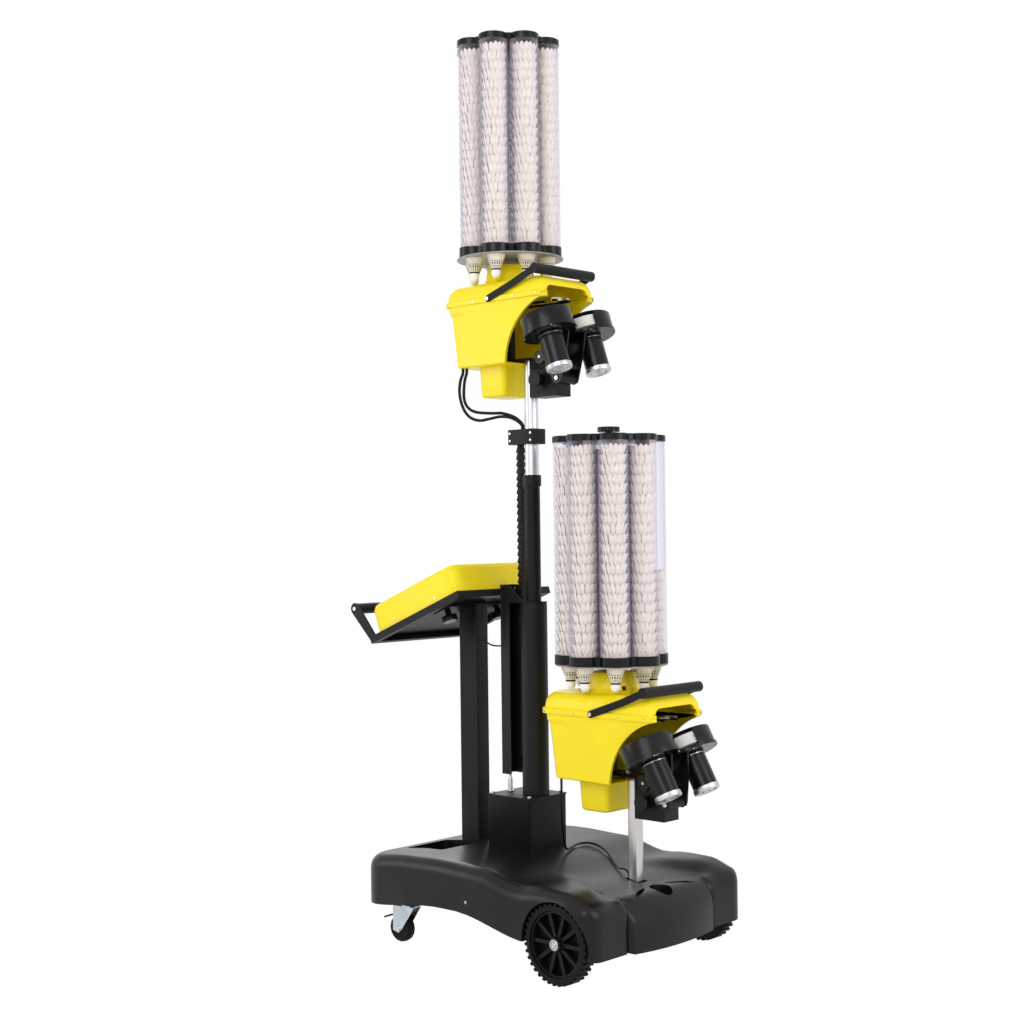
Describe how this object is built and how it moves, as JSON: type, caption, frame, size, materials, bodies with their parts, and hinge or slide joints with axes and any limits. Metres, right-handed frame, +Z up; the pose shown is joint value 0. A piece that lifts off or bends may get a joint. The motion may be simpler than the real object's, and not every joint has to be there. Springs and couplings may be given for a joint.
{
  "type": "badminton shuttlecock machine",
  "caption": "Wheeled court machine that drops shuttlecocks from two turning tube magazines and throws them from two tilting twin-wheel heads.",
  "frame": {"origin": "on the floor, at the middle of the machine's length and width", "axes": "+X the way it throws, +Y its left side, +Z up"},
  "size_m": [1.109, 0.642, 2.5113],
  "materials": {
    "cart_plastic": "moulded black plastic, satin",
    "powder_coat": "fine-textured near-black powder coat",
    "yellow_shell": "moulded lemon-yellow plastic, semi-gloss",
    "display": "dark glossy panel",
    "gloss_black": "glossy black moulding",
    "steel": "bright stainless steel",
    "bare_aluminium": "drawn tube, satin",
    "nylon": "black nylon, matt",
    "tyre_rubber": "black rubber",
    "zinc_plate": "bright zinc plate",
    "clear_tube": "clear tube",
    "feather": "ivory feathers and cork",
    "wheel_foam": "light grey firm foam",
    "motor_black": "black enamel with a bright end cap",
    "cable_sheath": "black cable sheath"
  },
  "bodies": {
    "cart": {"base_cover": "cart_plastic", "base_frame": "powder_coat", "lift_box": "powder_coat", "cable_connector": "steel", "mast_outer_tube": "powder_coat", "mast_inner_tube": "powder_coat", "chain_channel": "powder_coat", "console_post": "powder_coat", "console_tray": "powder_coat", "console_housing": "yellow_shell", "control_panel": "display", "stand_post": "steel", "console_cable": "cable_sheath", "lower_head_cable": "cable_sheath"},
    "lift_stage": {"mast_head_tube": "bare_aluminium", "cable_clamp_block": "powder_coat", "drag_chain": "nylon", "upper_head_cable_a": "cable_sheath", "upper_head_cable_b": "cable_sheath"},
    "front_wheel_right": {"front_wheel_right": "nylon", "front_tyre_right": "tyre_rubber"},
    "caster_right": {"caster_fork_right": "zinc_plate"},
    "caster_roller_right": {"caster_wheel_right": "tyre_rubber"},
    "caster_pedal_right": {"caster_brake_right": "nylon"},
    "front_wheel_left": {"front_wheel_left": "nylon", "front_tyre_left": "tyre_rubber"},
    "caster_left": {"caster_fork_left": "zinc_plate"},
    "caster_roller_left": {"caster_wheel_left": "tyre_rubber"},
    "caster_pedal_left": {"caster_brake_left": "nylon"},
    "power_switch": {"power_switch": "gloss_black"},
    "tray_knob_right": {"tray_knob_right": "gloss_black"},
    "tray_knob_left": {"tray_knob_left": "gloss_black"},
    "upper_head": {"upper_housing_body": "yellow_shell", "upper_housing_lid": "yellow_shell", "upper_head_frame": "powder_coat"},
    "upper_launcher": {"upper_launcher_frame": "powder_coat", "upper_drive_motor_right": "motor_black", "upper_drive_motor_left": "motor_black"},
    "upper_flywheel_right": {"upper_flywheel_right": "wheel_foam"},
    "upper_flywheel_left": {"upper_flywheel_left": "wheel_foam"},
    "upper_magazine": {"upper_carousel": "feather", "upper_magazine_tubes": "clear_tube", "upper_magazine_lid": "gloss_black"},
    "upper_lid_knob": {"upper_lid_knob": "gloss_black"},
    "upper_bail": {"upper_bail_handle": "powder_coat"},
    "upper_feeder": {"upper_feeder_claw": "steel"},
    "lower_head": {"lower_housing_body": "yellow_shell", "lower_housing_lid": "yellow_shell", "lower_head_frame": "powder_coat"},
    "lower_launcher": {"lower_launcher_frame": "powder_coat", "lower_drive_motor_right": "motor_black", "lower_drive_motor_left": "motor_black"},
    "lower_flywheel_right": {"lower_flywheel_right": "wheel_foam"},
    "lower_flywheel_left": {"lower_flywheel_left": "wheel_foam"},
    "lower_magazine": {"lower_carousel": "feather", "lower_magazine_tubes": "clear_tube", "lower_magazine_lid": "gloss_black"},
    "lower_lid_knob": {"lower_lid_knob": "gloss_black"},
    "lower_bail": {"lower_bail_handle": "powder_coat"},
    "lower_feeder": {"lower_feeder_claw": "steel"}
  },
  "joints": [
    {"name": "mast_lift", "type": "slide", "parent": "cart", "child": "lift_stage", "axis": [0, 0, 1], "range_m": [-0.08, 0.5]},
    {"name": "front_wheel_right_spin", "type": "hinge", "parent": "cart", "child": "front_wheel_right", "pos_m": [0.34144, -0.296, 0.1016], "axis": [0, 1, 0], "continuous": true},
    {"name": "caster_right_swivel", "type": "hinge", "parent": "cart", "child": "caster_right", "pos_m": [-0.24456, -0.255, 0.09], "axis": [0, 0, 1], "continuous": true},
    {"name": "caster_right_roll", "type": "hinge", "parent": "caster_right", "child": "caster_roller_right", "pos_m": [-0.27031, -0.25862, 0.0375], "axis": [-0.1392, 0.9903, 0], "continuous": true},
    {"name": "caster_right_brake", "type": "hinge", "parent": "caster_right", "child": "caster_pedal_right", "pos_m": [-0.28917, -0.26127, 0.0745], "axis": [0.1392, -0.9903, 0], "range_deg": [0, 10]},
    {"name": "front_wheel_left_spin", "type": "hinge", "parent": "cart", "child": "front_wheel_left", "pos_m": [0.34144, 0.296, 0.1016], "axis": [0, 1, 0], "continuous": true},
    {"name": "caster_left_swivel", "type": "hinge", "parent": "cart", "child": "caster_left", "pos_m": [-0.24456, 0.255, 0.09], "axis": [0, 0, 1], "continuous": true},
    {"name": "caster_left_roll", "type": "hinge", "parent": "caster_left", "child": "caster_roller_left", "pos_m": [-0.27031, 0.25138, 0.0375], "axis": [-0.1392, 0.9903, 0], "continuous": true},
    {"name": "caster_left_brake", "type": "hinge", "parent": "caster_left", "child": "caster_pedal_left", "pos_m": [-0.28917, 0.24873, 0.0745], "axis": [0.1392, -0.9903, 0], "range_deg": [0, 10]},
    {"name": "power_switch_rock", "type": "hinge", "parent": "cart", "child": "power_switch", "pos_m": [-0.46049, -0.112, 0.91798], "axis": [0, 1, 0], "range_deg": [-6, 6]},
    {"name": "tray_knob_right_turn", "type": "hinge", "parent": "cart", "child": "tray_knob_right", "pos_m": [-0.23538, -0.1, 0.88972], "axis": [-0.3633, 0, 0.9317], "continuous": true},
    {"name": "tray_knob_left_turn", "type": "hinge", "parent": "cart", "child": "tray_knob_left", "pos_m": [-0.23538, 0.1, 0.88972], "axis": [-0.3633, 0, 0.9317], "continuous": true},
    {"name": "upper_head_yaw", "type": "hinge", "parent": "lift_stage", "child": "upper_head", "pos_m": [-0.00256, 0, 1.583], "axis": [0, 0, 1], "range_deg": [-20, 20]},
    {"name": "upper_launcher_pitch", "type": "hinge", "parent": "upper_head", "child": "upper_launcher", "pos_m": [0.12544, 0, 1.538], "axis": [0, -1, 0], "range_deg": [-14.5, 15.5]},
    {"name": "upper_flywheel_right_spin", "type": "hinge", "parent": "upper_launcher", "child": "upper_flywheel_right", "pos_m": [0.13382, -0.08, 1.68], "axis": [-0.3173, 0, 0.9483], "continuous": true},
    {"name": "upper_flywheel_left_spin", "type": "hinge", "parent": "upper_launcher", "child": "upper_flywheel_left", "pos_m": [0.13382, 0.08, 1.68], "axis": [-0.3173, 0, 0.9483], "continuous": true},
    {"name": "upper_magazine_turn", "type": "hinge", "parent": "upper_head", "child": "upper_magazine", "pos_m": [-0.07656, 0, 1.888], "axis": [0, 0, 1], "continuous": true},
    {"name": "upper_lid_knob_turn", "type": "hinge", "parent": "upper_magazine", "child": "upper_lid_knob", "pos_m": [-0.07656, 0, 2.498], "axis": [0, 0, 1], "continuous": true},
    {"name": "upper_bail_lift", "type": "hinge", "parent": "upper_head", "child": "upper_bail", "pos_m": [-0.05256, 0, 1.763], "axis": [0, -1, 0], "range_deg": [0, 14]},
    {"name": "upper_feeder_slide", "type": "slide", "parent": "upper_head", "child": "upper_feeder", "axis": [1, 0, 0], "range_m": [-0.07, 0]},
    {"name": "lower_head_yaw", "type": "hinge", "parent": "cart", "child": "lower_head", "pos_m": [0.34844, 0, 0.47], "axis": [0, 0, 1], "range_deg": [-20, 20]},
    {"name": "lower_launcher_pitch", "type": "hinge", "parent": "lower_head", "child": "lower_launcher", "pos_m": [0.47644, 0, 0.425], "axis": [0, -1, 0], "range_deg": [-25, 5]},
    {"name": "lower_flywheel_right_spin", "type": "hinge", "parent": "lower_launcher", "child": "lower_flywheel_right", "pos_m": [0.4588, -0.08, 0.56615], "axis": [-0.4848, 0, 0.8746], "continuous": true},
    {"name": "lower_flywheel_left_spin", "type": "hinge", "parent": "lower_launcher", "child": "lower_flywheel_left", "pos_m": [0.4588, 0.08, 0.56615], "axis": [-0.4848, 0, 0.8746], "continuous": true},
    {"name": "lower_magazine_turn", "type": "hinge", "parent": "lower_head", "child": "lower_magazine", "pos_m": [0.27444, 0, 0.775], "axis": [0, 0, 1], "continuous": true},
    {"name": "lower_lid_knob_turn", "type": "hinge", "parent": "lower_magazine", "child": "lower_lid_knob", "pos_m": [0.27444, 0, 1.385], "axis": [0, 0, 1], "continuous": true},
    {"name": "lower_bail_lift", "type": "hinge", "parent": "lower_head", "child": "lower_bail", "pos_m": [0.29844, 0, 0.65], "axis": [0, -1, 0], "range_deg": [0, 14]},
    {"name": "lower_feeder_slide", "type": "slide", "parent": "lower_head", "child": "lower_feeder", "axis": [1, 0, 0], "range_m": [-0.07, 0]}
  ]
}
